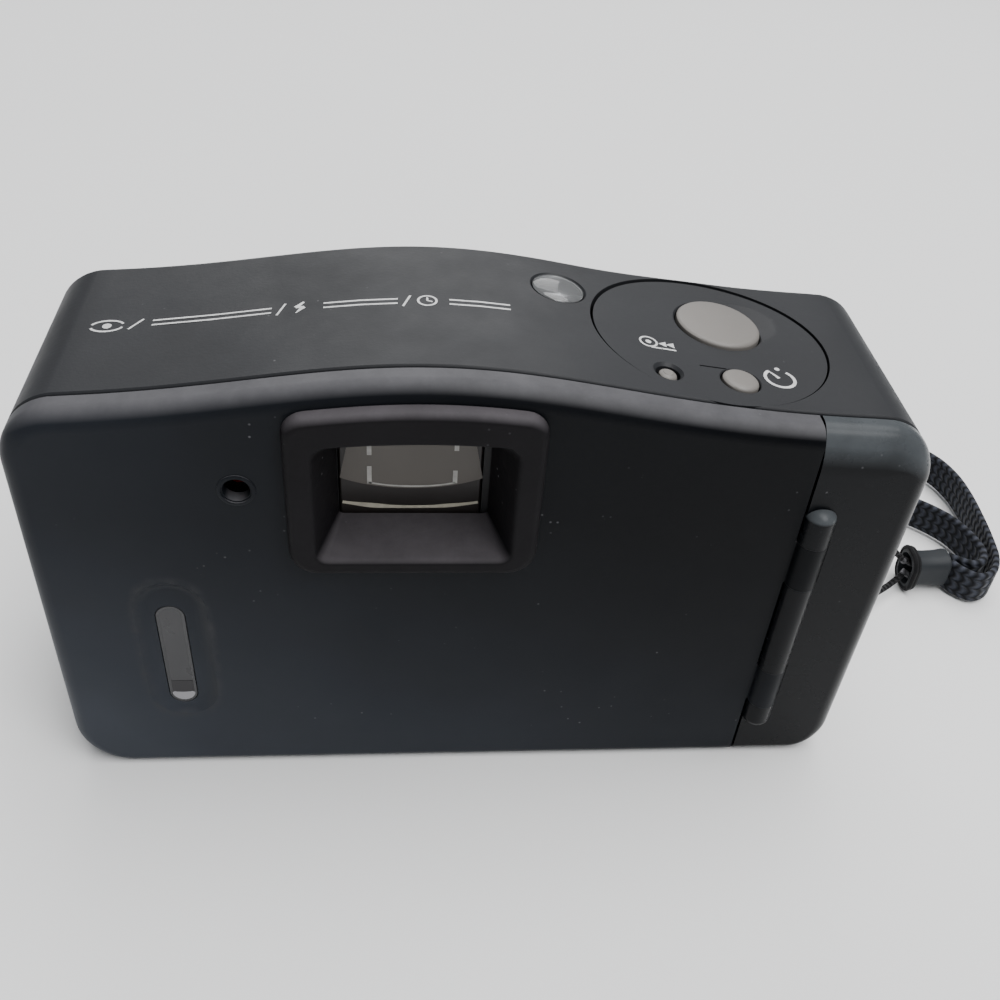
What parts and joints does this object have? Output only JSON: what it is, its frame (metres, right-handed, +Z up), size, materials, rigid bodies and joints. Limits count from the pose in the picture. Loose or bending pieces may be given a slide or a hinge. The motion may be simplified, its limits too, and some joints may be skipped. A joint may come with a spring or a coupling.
{
  "type": "compact 35 mm film camera",
  "caption": "Compact motor-drive 35 mm film camera with hinged back, top button cluster, sliding lens cover and a wrist strap on a wire eye.",
  "frame": {"origin": "centre of the tripod socket's mouth, on the plane the camera stands on", "axes": "+X to the right seen from behind, +Y towards the subject, +Z up"},
  "size_m": [0.1726, 0.0871, 0.0733],
  "materials": {
    "black_moulding": "fine matte",
    "cover_grey": "fine matte, slightly dusty",
    "door_black": "satin",
    "gloss_black": "smooth gloss",
    "eyepiece_black": "grained matte",
    "cover_black": "fine matte",
    "button_grey": "fine matte",
    "dark_metal": "black anodised",
    "bright_steel": "bright",
    "motor_steel": "drawn can",
    "brass_yellow": "machined",
    "gear_white": "acetal",
    "dial_white": "printed",
    "foam_black": "foam",
    "board_green": "solder resist",
    "clear_window": "clear moulded",
    "lens_glass": "coated",
    "lamp_red": "clear red",
    "reflector_silver": "polished",
    "capacitor_blue": "sleeve",
    "cell_jacket": "printed sleeve",
    "rubber_grey": "satin",
    "cord_black": "twisted",
    "braid_black": "flat braid"
  },
  "bodies": {
    "camera": {"chassis": "black_moulding", "front_cover": "cover_grey", "top_cover": "cover_grey", "end_cover": "gloss_black", "hinge_pin": "bright_steel", "door_light_seals": "foam_black", "control_disc": "cover_grey", "button_board": "board_green", "counter_window": "clear_window", "finder_rear_lens": "clear_window", "finder_front_lens": "clear_window", "bright_frame_mask": "dark_metal", "finder_window": "clear_window", "ready_lamp": "lamp_red", "wind_motor": "motor_steel", "shutter_plate": "dark_metal", "lens_barrel": "black_moulding", "front_lens": "lens_glass", "rear_lens": "lens_glass", "lens_ring": "cover_black", "flash_window": "clear_window", "flash_reflector": "reflector_silver", "flash_tube": "clear_window", "flash_capacitor": "capacitor_blue", "circuit_board": "board_green", "light_sensor": "lens_glass", "self_timer_lamp": "lamp_red", "battery_cells": "cell_jacket", "battery_top_contact": "bright_steel", "tripod_bush": "brass_yellow", "case_screws": "bright_steel", "strap_lug": "bright_steel", "strap_loop": "cord_black", "strap_ferrule": "rubber_grey", "strap_band": "braid_black"},
    "door": {"back_door": "door_black", "eyepiece_surround": "eyepiece_black", "film_window": "clear_window", "pressure_spring": "bright_steel"},
    "film_plate": {"pressure_plate": "dark_metal"},
    "latch": {"door_latch": "cover_black"},
    "shutter_release": {"shutter_button": "button_grey"},
    "rewind_release": {"rewind_button": "button_grey"},
    "timer_release": {"self_timer_button": "button_grey"},
    "dial": {"counter_dial": "dial_white"},
    "spool": {"take_up_spool": "black_moulding"},
    "pinion": {"motor_pinion": "brass_yellow"},
    "idler": {"idler_gear": "gear_white"},
    "sprocket": {"film_sprocket": "black_moulding"},
    "fork": {"rewind_fork": "black_moulding"},
    "blade_left": {"shutter_blade_left": "dark_metal"},
    "blade_right": {"shutter_blade_right": "dark_metal"},
    "slider": {"lens_cover": "cover_grey"},
    "battery_lid": {"battery_door": "cover_black", "battery_door_contact": "bright_steel"}
  },
  "joints": [
    {"name": "door_swing", "type": "hinge", "parent": "camera", "child": "door", "pos_m": [0.0472, -0.0178, 0], "axis": [0, 0, 1], "range_deg": [0, 110]},
    {"name": "film_plate_float", "type": "slide", "parent": "door", "child": "film_plate", "axis": [0, 1, 0], "range_m": [-0.0004, 0], "stiffness_N_per_m": 300},
    {"name": "latch_slide", "type": "slide", "parent": "camera", "child": "latch", "axis": [0, 0, -1], "range_m": [0, 0.0035], "stiffness_N_per_m": 200},
    {"name": "shutter_press", "type": "slide", "parent": "camera", "child": "shutter_release", "axis": [0, 0, -1], "range_m": [0, 0.0012], "stiffness_N_per_m": 600},
    {"name": "rewind_press", "type": "slide", "parent": "camera", "child": "rewind_release", "axis": [0, 0, -1], "range_m": [0, 0.0008], "stiffness_N_per_m": 500},
    {"name": "self_timer_press", "type": "slide", "parent": "camera", "child": "timer_release", "axis": [0, 0, -1], "range_m": [0, 0.0008], "stiffness_N_per_m": 500},
    {"name": "dial_turn", "type": "hinge", "parent": "camera", "child": "dial", "pos_m": [0.0085, 0.0055, 0.066], "axis": [0, 0, 1], "range_deg": [0, 320]},
    {"name": "spool_spin", "type": "hinge", "parent": "camera", "child": "spool", "pos_m": [0.032, -0.0026, 0], "axis": [0, 0, 1], "continuous": true},
    {"name": "pinion_spin", "type": "hinge", "parent": "camera", "child": "pinion", "pos_m": [0.032, -0.0026, 0], "axis": [0, 0, 1], "continuous": true},
    {"name": "idler_spin", "type": "hinge", "parent": "camera", "child": "idler", "pos_m": [0.0275, 0.00519, 0], "axis": [0, 0, 1], "continuous": true},
    {"name": "sprocket_spin", "type": "hinge", "parent": "camera", "child": "sprocket", "pos_m": [0.0183, -0.0093, 0], "axis": [0, 0, 1], "continuous": true},
    {"name": "fork_spin", "type": "hinge", "parent": "camera", "child": "fork", "pos_m": [-0.0434, -0.0009, 0], "axis": [0, 0, 1], "continuous": true},
    {"name": "blade_left_swing", "type": "hinge", "parent": "camera", "child": "blade_left", "pos_m": [-0.014, 0.0022, 0.0338], "axis": [0, 1, 0], "range_deg": [0, 50], "stiffness_Nm_per_rad": 0.0005},
    {"name": "blade_right_swing", "type": "hinge", "parent": "camera", "child": "blade_right", "pos_m": [0.002, 0.0027, 0.0338], "axis": [0, 1, 0], "range_deg": [-50, 0]},
    {"name": "cover_slide", "type": "slide", "parent": "camera", "child": "slider", "axis": [-1, 0, 0], "range_m": [0, 0.027]},
    {"name": "battery_lid_swing", "type": "hinge", "parent": "camera", "child": "battery_lid", "pos_m": [0.0466, 0, 0.001], "axis": [0, 1, 0], "range_deg": [0, 95]}
  ],
  "couplings": [
    {"joint": "idler_spin", "follows": "spool_spin", "ratio": -2.6},
    {"joint": "pinion_spin", "follows": "spool_spin", "ratio": 6.76},
    {"joint": "blade_right_swing", "follows": "blade_left_swing", "ratio": -1}
  ]
}
